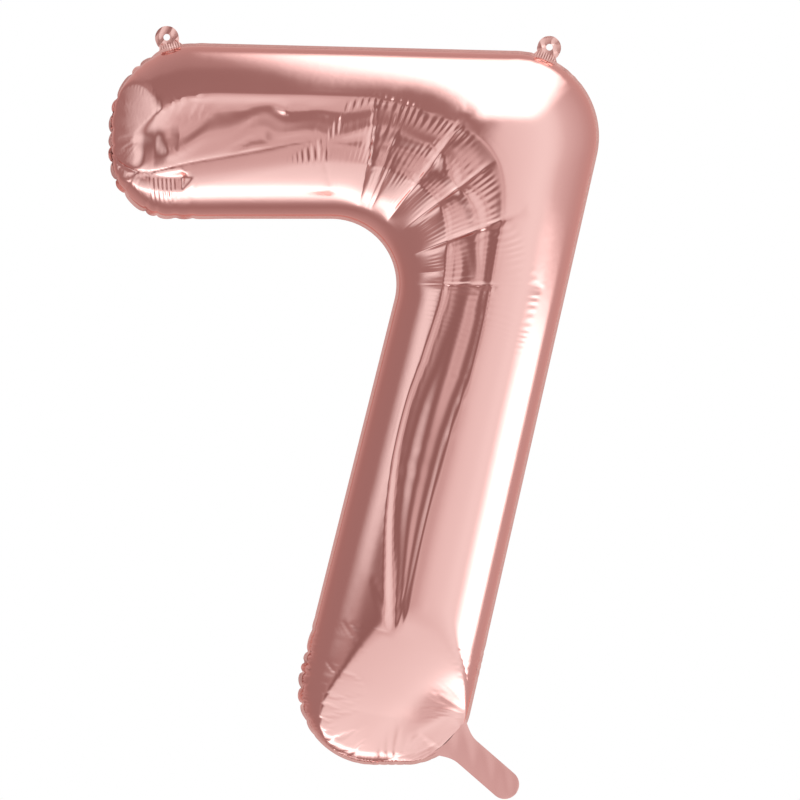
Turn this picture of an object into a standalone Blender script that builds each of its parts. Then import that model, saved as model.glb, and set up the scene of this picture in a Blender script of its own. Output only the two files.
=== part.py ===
"""Foil number balloon: the numeral 7, inflated, with hanging tabs and a filling tail.

Metres, +Z up, the readable face towards -Y. The origin lies midway between the eyelets
of the two hanging tabs, which is the line that the balloon hangs or is tied from.
The outline is drawn in the XZ plane from the corner where the top edge would meet the
bar's left end, with x to the right and z up, and is then moved to the origin.
"""
import math

import bmesh
import bpy
from mathutils import Vector
from mathutils.geometry import delaunay_2d_cdt

# The inflated numeral, edge to edge of its seam
NUMERAL_HEIGHT = 0.869
BAR_TOP_LENGTH = 0.613
BAR_HEIGHT = 0.214
TOP_SLOPE = math.radians(1.4)
INNER_CORNER_X = 0.366
STEM_RIGHT_SLANT = math.radians(12.8)
STEM_LEFT_SLANT = math.radians(14.1)
TOP_LEFT_RADIUS = 0.105
TOP_RIGHT_RADIUS = 0.103
STEM_RIGHT_RADIUS = 0.080
STEM_LEFT_RADIUS = 0.090
INNER_RADIUS = 0.078
BAR_LEFT_RADIUS = 0.077

# Film and seam
TUBE_HALF_DEPTH = 0.098
CORNER_SWELL = 0.75
SEAM_WIDTH = 0.005
SEAM_THICKNESS = 0.0008
PANEL_THICKNESS = 0.0005
PANEL_HALF_GAP = 0.00075
CLEARANCE = 0.0003
MESH_STEP = 0.026
EDGE_RING = 0.008

# Hanging tabs: a rounded strip with one round eyelet, standing on a rounded corner
TAB_WIDTH = 0.028
TAB_HEIGHT = 0.026
TAB_THICKNESS = 0.0006
TAB_STANDOFF = 0.0004
EYELET_HEIGHT = 0.0125
EYELET_RADIUS = 0.004
LEFT_TAB_ANGLE = math.radians(90 + 18)
RIGHT_TAB_ANGLE = math.radians(90 - 22)

# Filling tail and its self-sealing valve
TAIL_ANGLE = math.radians(-41)
TAIL_LENGTH = 0.0955
TAIL_WIDTH = 0.035
TAIL_FILM_THICKNESS = 0.0004
TAIL_SETBACK = 0.0015
NECK_HALF_ANGLE = math.radians(13.5)
VALVE_WIDTH = 0.026
VALVE_LENGTH = 0.080
VALVE_FILM_THICKNESS = 0.0003
LIP_LENGTH = 0.060
LIP_SETBACK = 0.007

FOIL = ("rose gold foil", (0.72, 0.36, 0.32, 1.0), 1.0, 0.15)
SEAM_FOIL = ("fused foil", (0.70, 0.38, 0.34, 1.0), 1.0, 0.25)
VALVE_FILM = ("clear valve film", (0.85, 0.85, 0.85, 1.0), 0.0, 0.20)


def clear_scene():
    for obj in list(bpy.data.objects):
        bpy.data.objects.remove(obj, do_unlink=True)


def new_collection(name):
    collection = bpy.data.collections.new(name)
    bpy.context.scene.collection.children.link(collection)
    return collection


def material(look):
    name, colour, metallic, roughness = look
    existing = bpy.data.materials.get(name)
    if existing:
        return existing
    made = bpy.data.materials.new(name)
    made.use_nodes = True
    shader = made.node_tree.nodes["Principled BSDF"]
    shader.inputs["Base Color"].default_value = colour
    shader.inputs["Metallic"].default_value = metallic
    shader.inputs["Roughness"].default_value = roughness
    return made


def polar(angle, radius):
    return Vector((math.cos(angle), math.sin(angle))) * radius


class Arc:
    """A rounded corner, walked clockwise round the numeral; inward is -1 where it is hollow."""

    def __init__(self, centre, radius, start, end, inward):
        self.centre = centre
        self.radius = radius
        self.start = start
        self.end = end
        self.inward = inward

    def part(self, start, end):
        return Arc(self.centre, self.radius, start, end, self.inward)

    def point(self, angle, inset):
        return self.centre + polar(angle, self.radius - self.inward * inset)

    def points(self, inset):
        sweep = self.end - self.start
        count = max(1, math.ceil(abs(sweep) * self.radius / MESH_STEP))
        return [self.point(self.start + sweep * i / count, inset) for i in range(count + 1)]


def numeral_corners():
    """The sharp corners that the outline's straight edges would meet in, with their radii."""
    top_right = Vector((BAR_TOP_LENGTH, -BAR_TOP_LENGTH * math.tan(TOP_SLOPE)))
    right_fall = NUMERAL_HEIGHT + top_right.y
    left_fall = NUMERAL_HEIGHT - BAR_HEIGHT
    stem_right = Vector((top_right.x - right_fall * math.tan(STEM_RIGHT_SLANT), -NUMERAL_HEIGHT))
    stem_left = Vector((INNER_CORNER_X - left_fall * math.tan(STEM_LEFT_SLANT), -NUMERAL_HEIGHT))
    return [
        (stem_right, STEM_RIGHT_RADIUS),
        (stem_left, STEM_LEFT_RADIUS),
        (Vector((INNER_CORNER_X, -BAR_HEIGHT)), INNER_RADIUS),
        (Vector((0, -BAR_HEIGHT)), BAR_LEFT_RADIUS),
        (Vector((0, 0)), TOP_LEFT_RADIUS),
        (top_right, TOP_RIGHT_RADIUS),
    ]


def round_corner(before, corner, after, radius):
    arriving = (corner - before).normalized()
    leaving = (after - corner).normalized()
    turn = math.atan2(arriving.x * leaving.y - arriving.y * leaving.x, arriving.dot(leaving))
    inward = 1 if turn < 0 else -1
    start = corner - arriving * radius * math.tan(abs(turn) / 2)
    to_centre = Vector((arriving.y, -arriving.x)) * inward
    centre = start + to_centre * radius
    start_angle = math.atan2(start.y - centre.y, start.x - centre.x)
    return Arc(centre, radius, start_angle, start_angle + turn, inward)


def numeral_arcs():
    """The rounded corners in clockwise order, from the stem's lower right one."""
    corners = numeral_corners()
    arcs = []
    for i, (corner, radius) in enumerate(corners):
        after = corners[(i + 1) % len(corners)][0]
        arcs.append(round_corner(corners[i - 1][0], corner, after, radius))
    return arcs


def straight_points(start, end):
    """Points strictly between two ends, one every MESH_STEP or less."""
    count = math.ceil((end - start).length / MESH_STEP)
    return [start.lerp(end, i / count) for i in range(1, count)]


def seam_line(inset):
    """The outline, moved in by inset, from the tail's lower side clockwise to its upper side."""
    arcs = numeral_arcs()
    neck_corner = arcs[0]
    spans = [neck_corner.part(TAIL_ANGLE - NECK_HALF_ANGLE, neck_corner.end)]
    spans += arcs[1:]
    spans.append(neck_corner.part(neck_corner.start, TAIL_ANGLE + NECK_HALF_ANGLE))
    points = spans[0].points(inset)
    for span in spans[1:]:
        arc = span.points(inset)
        points += straight_points(points[-1], arc[0]) + arc
    return points


def closed_line(inset):
    """The whole outline, moved in by inset, with the stretch across the tail's root."""
    neck = numeral_arcs()[0].part(TAIL_ANGLE + NECK_HALF_ANGLE, TAIL_ANGLE - NECK_HALF_ANGLE)
    return seam_line(inset) + neck.points(inset)[1:-1]


def edge_distance(point, loop):
    nearest = math.inf
    for i, end in enumerate(loop):
        start = loop[i - 1]
        along = end - start
        share = max(0.0, min(1.0, (point - start).dot(along) / along.length_squared))
        nearest = min(nearest, (point - start - along * share).length)
    return nearest


def is_inside(point, loop):
    inside = False
    for i, end in enumerate(loop):
        start = loop[i - 1]
        if (start.y > point.y) != (end.y > point.y):
            crossing = start.x + (end.x - start.x) * (point.y - start.y) / (end.y - start.y)
            inside ^= point.x < crossing
    return inside


def lattice_points(loop, margin):
    """Points of a triangular lattice that lie inside a loop and at least margin from it."""
    low_x, high_x = min(p.x for p in loop), max(p.x for p in loop)
    low_y, high_y = min(p.y for p in loop), max(p.y for p in loop)
    row_height = MESH_STEP * math.sqrt(3) / 2
    found = []
    for row in range(int((high_y - low_y) / row_height) + 1):
        shift = MESH_STEP / 2 if row % 2 else 0
        for column in range(int((high_x - low_x) / MESH_STEP) + 1):
            point = Vector((low_x + column * MESH_STEP + shift, low_y + row * row_height))
            if is_inside(point, loop) and edge_distance(point, loop) >= margin:
                found.append(point)
    return found


def dome_height(distance):
    """Half the depth at a distance from the edge: a round tube, then a slower swell past its crown."""
    if distance >= TUBE_HALF_DEPTH:
        return TUBE_HALF_DEPTH + CORNER_SWELL * (distance - TUBE_HALF_DEPTH)
    return math.sqrt(distance * (2 * TUBE_HALF_DEPTH - distance))


def tab_base(angle, arc):
    return arc.point(angle, -TAB_STANDOFF)


def origin_shift():
    """The point midway between the eyelets, in the outline's own frame."""
    arcs = numeral_arcs()
    left = tab_base(LEFT_TAB_ANGLE, arcs[4]) + polar(LEFT_TAB_ANGLE, EYELET_HEIGHT)
    right = tab_base(RIGHT_TAB_ANGLE, arcs[5]) + polar(RIGHT_TAB_ANGLE, EYELET_HEIGHT)
    return (left + right) / 2


def placed(point, y=0.0):
    """A point of the outline's frame in the part's frame."""
    shift = origin_shift()
    return Vector((point.x - shift.x, y, point.y - shift.y))


def mesh_object(name, bm, look, collection):
    bmesh.ops.recalc_face_normals(bm, faces=bm.faces[:])
    mesh = bpy.data.meshes.new(name)
    bm.to_mesh(mesh)
    bm.free()
    obj = bpy.data.objects.new(name, mesh)
    mesh.materials.append(material(look))
    collection.objects.link(obj)
    return obj


def thicken(obj, thickness, offset):
    shell = obj.modifiers.new("thickness", "SOLIDIFY")
    shell.thickness = thickness
    shell.offset = offset


def make_panel(name, side, collection):
    """One face of the balloon, side -1 for the front: a domed sheet inside the seam."""
    rim = closed_line(SEAM_WIDTH + CLEARANCE)
    ring = closed_line(SEAM_WIDTH + CLEARANCE + EDGE_RING)
    inside = lattice_points(ring, MESH_STEP * 0.6)
    points = rim + ring + inside
    flat, _, triangles = delaunay_2d_cdt(points, [], [list(range(len(rim)))], 1, 1e-6)[:3]
    shift = origin_shift()
    bm = bmesh.new()
    for point in flat:
        height = PANEL_HALF_GAP + dome_height(edge_distance(point, rim))
        bm.verts.new((point.x - shift.x, side * height, point.y - shift.y))
    bm.verts.ensure_lookup_table()
    for triangle in triangles:
        bm.faces.new([bm.verts[i] for i in triangle])
    panel = mesh_object(name, bm, FOIL, collection)
    if panel.data.polygons[0].normal.y * side < 0:
        panel.data.flip_normals()
    panel.data.shade_smooth()
    thicken(panel, PANEL_THICKNESS, -1)
    return panel


def make_seam(collection):
    """The fused strip round the numeral, open where the tail's neck passes through it."""
    outer = seam_line(0)
    inner = seam_line(SEAM_WIDTH)
    bm = bmesh.new()
    outer_verts = [bm.verts.new(placed(p)) for p in outer]
    inner_verts = [bm.verts.new(placed(p)) for p in inner]
    for i in range(len(outer) - 1):
        bm.faces.new((outer_verts[i], outer_verts[i + 1], inner_verts[i + 1], inner_verts[i]))
    seam = mesh_object("perimeter_seam", bm, SEAM_FOIL, collection)
    thicken(seam, SEAM_THICKNESS, 0)
    return seam


def hinge_empty(name, base, direction_angle, collection):
    """An empty on a joint's axis: its X lies along the axis and its Y along the strip."""
    empty = bpy.data.objects.new(name, None)
    empty.location = placed(base)
    empty.rotation_euler = (math.pi / 2, math.pi / 2 - direction_angle, 0)
    empty.rotation_mode = "XYZ"
    empty.empty_display_size = 0.02
    collection.objects.link(empty)
    return empty


def circle_points(centre_height, radius, count):
    turns = [2 * math.pi * i / count for i in range(count)]
    return [Vector((radius * math.cos(t), centre_height + radius * math.sin(t))) for t in turns]


def strip_outline(width, length, arc_steps=12):
    """A strip standing on the X axis with a round far end."""
    radius = width / 2
    middle = length - radius
    steps = [math.pi * i / arc_steps for i in range(arc_steps + 1)]
    crown = [Vector((radius * math.cos(t), middle + radius * math.sin(t))) for t in steps]
    return [Vector((-radius, 0)), Vector((radius, 0))] + crown


def flat_strip(name, outlines, thickness, height, look, parent, collection):
    """A flat plate from closed outlines in the parent's XY plane, centred at a height over it."""
    curve = bpy.data.curves.new(name, "CURVE")
    curve.dimensions = "2D"
    curve.fill_mode = "BOTH"
    curve.extrude = thickness / 2
    for outline in outlines:
        spline = curve.splines.new("POLY")
        spline.points.add(len(outline) - 1)
        for knot, point in zip(spline.points, outline):
            knot.co = (point.x, point.y, 0, 1)
        spline.use_cyclic_u = True
    strip = bpy.data.objects.new(name, curve)
    curve.materials.append(material(look))
    strip.parent = parent
    strip.location.z = height
    collection.objects.link(strip)
    return strip


def make_tab(side, angle, arc, collection):
    hinge = hinge_empty(f"{side}_tab_hinge", tab_base(angle, arc), angle, collection)
    outlines = [strip_outline(TAB_WIDTH, TAB_HEIGHT), circle_points(EYELET_HEIGHT, EYELET_RADIUS, 24)]
    flat_strip(f"hanging_tab_{side}", outlines, TAB_THICKNESS, 0, SEAM_FOIL, hinge, collection)


def make_tail(collection):
    """Two foil films with the two valve films between them, hinged at the neck."""
    corner = numeral_arcs()[0]
    base = corner.point(TAIL_ANGLE, TAIL_SETBACK)
    hinge = hinge_empty("tail_hinge", base, TAIL_ANGLE, collection)
    valve_height = (CLEARANCE + VALVE_FILM_THICKNESS) / 2
    film_height = PANEL_HALF_GAP + TAIL_FILM_THICKNESS / 2
    tail = strip_outline(TAIL_WIDTH, TAIL_LENGTH)
    valve = strip_outline(VALVE_WIDTH, VALVE_LENGTH)
    for face, side in (("front", 1), ("back", -1)):
        flat_strip(
            f"tail_{face}_film", [tail], TAIL_FILM_THICKNESS, side * film_height, FOIL, hinge, collection
        )
        flat_strip(
            f"valve_{face}_film", [valve], VALVE_FILM_THICKNESS, side * valve_height,
            VALVE_FILM, hinge, collection,
        )


def make_valve_lips(collection):
    """The valve films' free ends inside the balloon, which gas pressure holds shut."""
    base = numeral_arcs()[0].point(TAIL_ANGLE, LIP_SETBACK)
    height = (CLEARANCE + VALVE_FILM_THICKNESS) / 2
    lip = strip_outline(VALVE_WIDTH, LIP_LENGTH)
    for face, side in (("front", -1), ("back", 1)):
        hinge = hinge_empty(f"valve_{face}_lip_hinge", base, TAIL_ANGLE + math.pi, collection)
        flat_strip(
            f"valve_{face}_lip", [lip], VALVE_FILM_THICKNESS, -side * height, VALVE_FILM, hinge, collection
        )


def main():
    clear_scene()
    parts = new_collection("foil number balloon")
    arcs = numeral_arcs()
    make_panel("front_panel", -1, parts)
    make_panel("back_panel", 1, parts)
    make_seam(parts)
    make_tab("left", LEFT_TAB_ANGLE, arcs[4], parts)
    make_tab("right", RIGHT_TAB_ANGLE, arcs[5], parts)
    make_tail(parts)
    make_valve_lips(parts)


main()
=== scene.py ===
"""Looks of the foil number balloon: a rose gold numeral 7, filled tight.

The film is laid out as a grid of slices across the tube, shaped with the folds that the
flat cut forces on it, and then blown up for a few frames by cloth simulation with its
seam held, so that the folds turn into pillows and creases.
"""
import math

import bpy
import numpy as np
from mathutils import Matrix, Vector


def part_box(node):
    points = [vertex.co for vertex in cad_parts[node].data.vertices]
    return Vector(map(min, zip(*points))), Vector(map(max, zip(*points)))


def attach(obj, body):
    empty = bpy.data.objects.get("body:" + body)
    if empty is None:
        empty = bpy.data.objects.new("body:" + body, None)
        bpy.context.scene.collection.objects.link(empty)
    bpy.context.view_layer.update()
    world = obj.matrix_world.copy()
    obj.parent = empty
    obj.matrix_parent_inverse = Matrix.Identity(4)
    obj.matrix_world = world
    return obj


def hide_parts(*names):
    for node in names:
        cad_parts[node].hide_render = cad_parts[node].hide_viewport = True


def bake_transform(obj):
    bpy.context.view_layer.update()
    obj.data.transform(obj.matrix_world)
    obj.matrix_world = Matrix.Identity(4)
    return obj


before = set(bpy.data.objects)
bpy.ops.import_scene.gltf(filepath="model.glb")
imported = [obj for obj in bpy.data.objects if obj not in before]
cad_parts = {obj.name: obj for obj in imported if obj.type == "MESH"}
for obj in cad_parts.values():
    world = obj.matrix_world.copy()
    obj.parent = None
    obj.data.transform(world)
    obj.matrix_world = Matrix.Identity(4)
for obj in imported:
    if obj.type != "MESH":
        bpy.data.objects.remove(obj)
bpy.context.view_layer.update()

# The seam's outline, as the CAD model draws it from the corner of the top and left edges
NUMERAL_HEIGHT = 0.869
BAR_TOP_LENGTH = 0.613
BAR_HEIGHT = 0.214
TOP_SLOPE = math.radians(1.4)
INNER_CORNER_X = 0.366
STEM_RIGHT_SLANT = math.radians(12.8)
STEM_LEFT_SLANT = math.radians(14.1)
CORNER_RADII = {
    "stem_right": 0.080, "stem_left": 0.090, "inner": 0.078,
    "bar_left": 0.077, "top_left": 0.105, "top_right": 0.103,
}
SEAM_WIDTH = 0.0038

# The grid that the film is laid out on
SLICE_STEP = 0.0076
END_STEP = 0.0028
CORNER_STEP = 0.0024
ACROSS = 64
CROWDED_AT = 0.58
CROWDING = 0.36
# How many slices the corner is eased over, and how far from the ends that starts
EASING_REACH = 28
EASED_FROM = 70

# The tube's round section and its ends
TUBE_DEPTH = 0.098
DEPTH_GROWTH = 0.45
RIDGE_SOFTNESS = 0.006
# Each end of the tube is a facet: how far it reaches in from the seam, how quickly it rises
# off the seam, and how much of the tube's depth that first rise gains
LEFT_FACET = (0.068, 0.006, 0.40)
FOOT_FACET = (0.172, 0.016, 0.22)
FACET_CURVE = 0.12


def unit(value):
    """A value held between 0 and 1."""
    return np.clip(value, 0, 1)


def seam_box():
    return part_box("perimeter_seam")


def drawing_origin():
    low = seam_box()[0]
    return np.array((low[0], low[2] + NUMERAL_HEIGHT))


class Arc:
    """A rounded corner of the outline, walked clockwise."""

    def __init__(self, before, corner, after, radius):
        arriving = (corner - before) / np.linalg.norm(corner - before)
        leaving = (after - corner) / np.linalg.norm(after - corner)
        cross = arriving[0] * leaving[1] - arriving[1] * leaving[0]
        turn = math.atan2(cross, arriving @ leaving)
        self.inward = 1 if turn < 0 else -1
        start = corner - arriving * radius * math.tan(abs(turn) / 2)
        self.centre = start + np.array((arriving[1], -arriving[0])) * self.inward * radius
        self.radius = radius
        self.start = math.atan2(*(start - self.centre)[::-1])
        self.end = self.start + turn

    def at(self, share, inset=0.0):
        angle = self.start + (self.end - self.start) * share
        reach = self.radius - self.inward * inset
        return self.centre + reach * np.array((math.cos(angle), math.sin(angle)))

    def length(self):
        return abs(self.end - self.start) * self.radius


def outline_arcs():
    origin = drawing_origin()
    fall_right = NUMERAL_HEIGHT - BAR_TOP_LENGTH * math.tan(TOP_SLOPE)
    fall_left = NUMERAL_HEIGHT - BAR_HEIGHT
    corners = {
        "top_left": (0, 0),
        "top_right": (BAR_TOP_LENGTH, fall_right - NUMERAL_HEIGHT),
        "stem_right": (BAR_TOP_LENGTH - fall_right * math.tan(STEM_RIGHT_SLANT), -NUMERAL_HEIGHT),
        "stem_left": (INNER_CORNER_X - fall_left * math.tan(STEM_LEFT_SLANT), -NUMERAL_HEIGHT),
        "inner": (INNER_CORNER_X, -BAR_HEIGHT),
        "bar_left": (0, -BAR_HEIGHT),
    }
    names = list(corners)
    points = [np.array(corners[name]) + origin for name in names]
    arcs = {}
    for i, name in enumerate(names):
        arcs[name] = Arc(points[i - 1], points[i], points[(i + 1) % len(names)], CORNER_RADII[name])
    return arcs


ARCS = outline_arcs()


def graded(length, first, first_length, last, last_length):
    """Shares of a run, from 0 up to but not including 1, closer together near its ends."""
    places = [0.0]
    while places[-1] < length:
        here = places[-1]
        step = first if here < first_length else last if here > length - last_length else SLICE_STEP
        places.append(here + step)
    return np.array(places[:-1]) / places[-1]


def arc_shares(arc):
    return graded(arc.length(), END_STEP, arc.length(), END_STEP, 0)


def film_edge(name, share):
    """A point on the film's edge, a share of the way round a corner of the outline."""
    return ARCS[name].at(share, SEAM_WIDTH)


def on_line(first, last, shares):
    return [first + (last - first) * share for share in shares]


def ray_hits(angles):
    """Where rays from the inner corner's centre meet the outer edge, by angle."""
    centre = ARCS["inner"].centre
    shares = np.linspace(0, 1, 400)
    edge = on_line(film_edge("top_left", 1), film_edge("top_right", 0), shares)
    edge += [film_edge("top_right", share) for share in shares]
    edge += on_line(film_edge("top_right", 1), film_edge("stem_right", 0), shares)
    edge = np.array(edge)
    turn = np.arctan2(edge[:, 1] - centre[1], edge[:, 0] - centre[0])
    order = np.argsort(turn)
    return np.stack([np.interp(angles, turn[order], edge[order, k]) for k in (0, 1)], 1)


def lay_slices():
    """Both ends of each slice across the tube, from the bar's left end to the stem's foot."""
    corner = ARCS["inner"]
    shares = arc_shares(ARCS["top_left"])
    outer = [film_edge("top_left", share) for share in shares]
    inner = [film_edge("bar_left", 1 - share) for share in shares]
    sweep = corner.start - corner.end
    first, last = ray_hits(np.array((corner.end, corner.start)))
    start = film_edge("top_left", 1)
    shares = graded(np.linalg.norm(first - start), END_STEP, 0.03, CORNER_STEP, 0.05)
    outer += on_line(start, first, shares)
    inner += on_line(film_edge("bar_left", 0), film_edge("inner", 1), shares)
    count = math.ceil((corner.radius + TUBE_DEPTH) * abs(sweep) / CORNER_STEP)
    angles = corner.end + sweep * np.arange(count) / count
    outer += list(ray_hits(angles))
    shares = (corner.end - angles) / (corner.end - corner.start)
    inner += [film_edge("inner", 1 - share) for share in shares]
    start, end = film_edge("inner", 0), film_edge("stem_left", 1)
    shares = graded(np.linalg.norm(end - start), CORNER_STEP, 0.05, END_STEP, 0.08)
    outer += on_line(last, film_edge("stem_right", 0), shares)
    inner += on_line(start, end, shares)
    shares = [*arc_shares(ARCS["stem_left"]), 1.0]
    outer += [film_edge("stem_right", share) for share in shares]
    inner += [film_edge("stem_left", 1 - share) for share in shares]
    return np.array(outer), np.array(inner)


def walk_along(middle):
    """Where each slice is: 0 to 1 along the bar, 1 to 2 round the corner, 2 to 3 down the stem."""
    low = seam_box()[0]
    inner = ARCS["inner"]
    angle = np.arctan2(middle[:, 1] - inner.centre[1], middle[:, 0] - inner.centre[0])
    along_bar = (middle[:, 0] - low[0]) / (inner.centre[0] - low[0])
    round_corner = 1 + (inner.end - angle) / (inner.end - inner.start)
    knee = middle[np.argmin(np.abs(angle - inner.start)), 1]
    down_stem = 2 + (knee - middle[:, 1]) / (knee - low[2])
    in_bar = (angle > inner.end) | (middle[:, 0] < inner.centre[0])
    in_stem = (angle < inner.start) & ~in_bar
    return np.where(in_bar, np.minimum(along_bar, 1), np.where(in_stem, down_stem, round_corner))


def walk_of(form):
    """Where each row of a grid is along the tube, as walk_along counts it."""
    rim = (form[:, 0] + form[:, -1]) / 2
    return np.maximum.accumulate(walk_along(rim[:, (0, 2)]))


def turns(columns):
    """Angles of the grid's columns round the tube, closer together beside the long fold."""
    share = np.linspace(0, 1, columns)
    sway = np.sin(2 * math.pi * (share - CROWDED_AT)) + math.sin(2 * math.pi * CROWDED_AT)
    return math.pi * (share - CROWDING * sway / (2 * math.pi))


def off_seam(columns):
    """0 at the seam on both sides of the tube, and 1 from a little way in."""
    return unit(np.sin(turns(columns)) / 0.25)[None, :]


def facet(from_seam, from_end, shape, depth, easing=1):
    """Height of an end facet: a quick rise off the seam, then a nearly plane slope."""
    length, rise, gain = shape
    start = unit(from_seam / rise)
    rest = unit(from_end / length)
    slope = rest * (1 + FACET_CURVE * (1 - rest))
    return depth * (gain * easing * np.sqrt(start * (2 - start)) + (1.02 - gain) * slope)


# The tail, with the width it gains at its root and how far it laps over the film
TAIL_ANGLE = math.radians(-41)
TAIL_WIDTH = 0.035
TAIL_REACH = 0.0990
TAIL_FLARE = 0.011
TAIL_FLARE_LENGTH = 0.022
TAIL_OVERLAP = 0.004
ROOT_SPREAD = 0.04
# The film comes down to the tail's root over this width and distance
NECK_HALF_WIDTH = 0.010
NECK_REACH = 0.040
NECK_EASING = 0.075
# The valve's films in the tail
VALVE_WIDTH = 0.026
VALVE_REACH = 0.085


def tail_frame():
    """The tail's root on the film's edge, its direction, and the direction across it."""
    arc = ARCS["stem_right"]
    along = np.array((math.cos(TAIL_ANGLE), math.sin(TAIL_ANGLE)))
    root = arc.centre + along * (arc.radius - SEAM_WIDTH)
    return root, along, np.array((-along[1], along[0]))


def end_curve(first, first_shares, second, second_shares):
    """Points along the seam round one end of the tube."""
    points = [film_edge(first, share) for share in np.linspace(*first_shares, 40)]
    points += [film_edge(second, share) for share in np.linspace(*second_shares, 40)]
    points = np.array(points)
    between = np.linspace(points[39], points[40], 20)
    return np.concatenate((points, between))


def distance_to(place, curve):
    """Each place's distance from the nearest point of a curve."""
    flat = place.reshape(-1, 2)
    gaps = np.linalg.norm(flat[:, None, :] - curve[None, :, :], axis=2)
    return gaps.min(1).reshape(place.shape[:2])


def from_tail(place):
    """How far each place is inward of the tail's root, and how far to either side of it."""
    root, along, across = tail_frame()
    return -(place - root) @ along, np.abs((place - root) @ across)


def clear_of_tail(place, reach):
    """0 at the tail's root, rising to 1 within about twice the reach."""
    inward, aside = from_tail(place)
    inward = np.maximum(inward, 0)
    aside = np.maximum(aside - NECK_HALF_WIDTH, 0)
    return 1 - np.exp(-(inward**2 + aside**2) / reach**2)


# The wedge of room that the valve's lips need to swing apart inside the film
LIP_ROOM_SLOPE = 0.26
LIP_ROOM_START = 0.001
LIP_ROOM_LENGTH = 0.070
LIP_ROOM_HALF_WIDTH = 0.014
LIP_ROOM_FADE = 0.036
LIP_ROOM_DROP = 0.03
LIP_ROOM_EASING = 0.0035
LIP_EASING_LENGTH = 0.02


def with_lip_room(height, place):
    """The film's height, raised where it would touch the opened lips of the valve."""
    inward, aside = from_tail(place)
    aside = unit((aside - LIP_ROOM_HALF_WIDTH) / LIP_ROOM_FADE)
    share = 0.5 + 0.5 * np.cos(math.pi * aside)
    room = LIP_ROOM_SLOPE * (inward - LIP_ROOM_START) * share - LIP_ROOM_DROP * (1 - share)
    room = room - np.maximum(inward - LIP_ROOM_LENGTH, 0)
    easing = LIP_ROOM_EASING * unit(inward / LIP_EASING_LENGTH)
    return (height + room + np.sqrt((height - room) ** 2 + easing ** 2)) / 2


# The hollow in which the long fold's strip starts, behind the left facet
POCKET_PLACE = (-0.2620, -0.1170)
POCKET_LENGTH = 0.054
POCKET_HALF_HEIGHT = 0.021
POCKET_DEPTH = 0.0150

# The small flat patch below the strip's start: its right and top limits, its height, how it
# rises beyond those limits, and the lowest place that it can reach
PATCH_CORNER = (-0.2070, -0.1660)
PATCH_DEPTH = 0.066
PATCH_SLOPES = (0.9, 1.7)
PATCH_SOFTNESS = 0.003
PATCH_FLOOR = -0.25


def pocket(place):
    """How far the film is sunk in the hollow."""
    past = place[..., 0] - POCKET_PLACE[0]
    above = (place[..., 1] - POCKET_PLACE[1]) / POCKET_HALF_HEIGHT
    return POCKET_DEPTH * unit(1 - past / POCKET_LENGTH) * np.exp(-above * above)


def with_patch(tube, place):
    """The tube's height, cut down to the flat patch."""
    right = np.maximum(place[..., 0] - PATCH_CORNER[0], 0)
    above = np.maximum(place[..., 1] - PATCH_CORNER[1], 0)
    patch = PATCH_DEPTH + PATCH_SLOPES[0] * right + PATCH_SLOPES[1] * above
    return np.where(place[..., 1] < PATCH_FLOOR, tube, soft_min(tube, patch, PATCH_SOFTNESS))


def soft_min(a, b, softness):
    """The smaller of two heights, with their ridge rounded off."""
    width = softness * np.clip(np.minimum(a, b) / 0.03, 0.0001, 1)
    near = np.maximum(width - np.abs(a - b), 0) / width
    return np.minimum(a, b) - near * near * width / 4


def eased(rows, reach):
    """Each row averaged with its neighbours, except near the tube's two ends."""
    kernel = np.hanning(2 * reach + 3)[1:-1]
    kernel /= kernel.sum()
    padded = np.concatenate([rows[:1]] * reach + [rows] + [rows[-1:]] * reach)
    mean = sum(weight * padded[i:i + len(rows)] for i, weight in enumerate(kernel))
    count = np.arange(len(rows))
    share = unit((np.minimum(count, count[::-1]) - EASED_FROM) / EASED_FROM)
    return rows + (mean - rows) * share.reshape((-1,) + (1,) * (rows.ndim - 1))


# How far beyond the tail's root the foot's facet would come down to the seam's plane
FOOT_MARGIN = 0.002
LEAST_HEIGHT = 0.0005


def end_facets(place, depth):
    """The lower of the two end facets' heights over each place."""
    end = place[..., 0] - seam_box()[0][0] - SEAM_WIDTH
    foot_arc = ARCS["stem_left"]
    bottom = foot_arc.centre - np.array((0, foot_arc.radius - SEAM_WIDTH))
    slant = tail_frame()[0] - bottom
    slant /= np.linalg.norm(slant)
    foot = (place - bottom) @ np.array((-slant[1], slant[0])) + FOOT_MARGIN
    end_seam = distance_to(place, end_curve("bar_left", (0.25, 1), "top_left", (0, 0.75)))
    foot_seam = distance_to(place, end_curve("stem_right", (0, 1), "stem_left", (0, 1)))
    left = facet(end_seam, end, LEFT_FACET, depth)
    foot = facet(foot_seam, foot, FOOT_FACET, depth, clear_of_tail(place, NECK_EASING))
    return np.minimum(left, foot)


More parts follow.
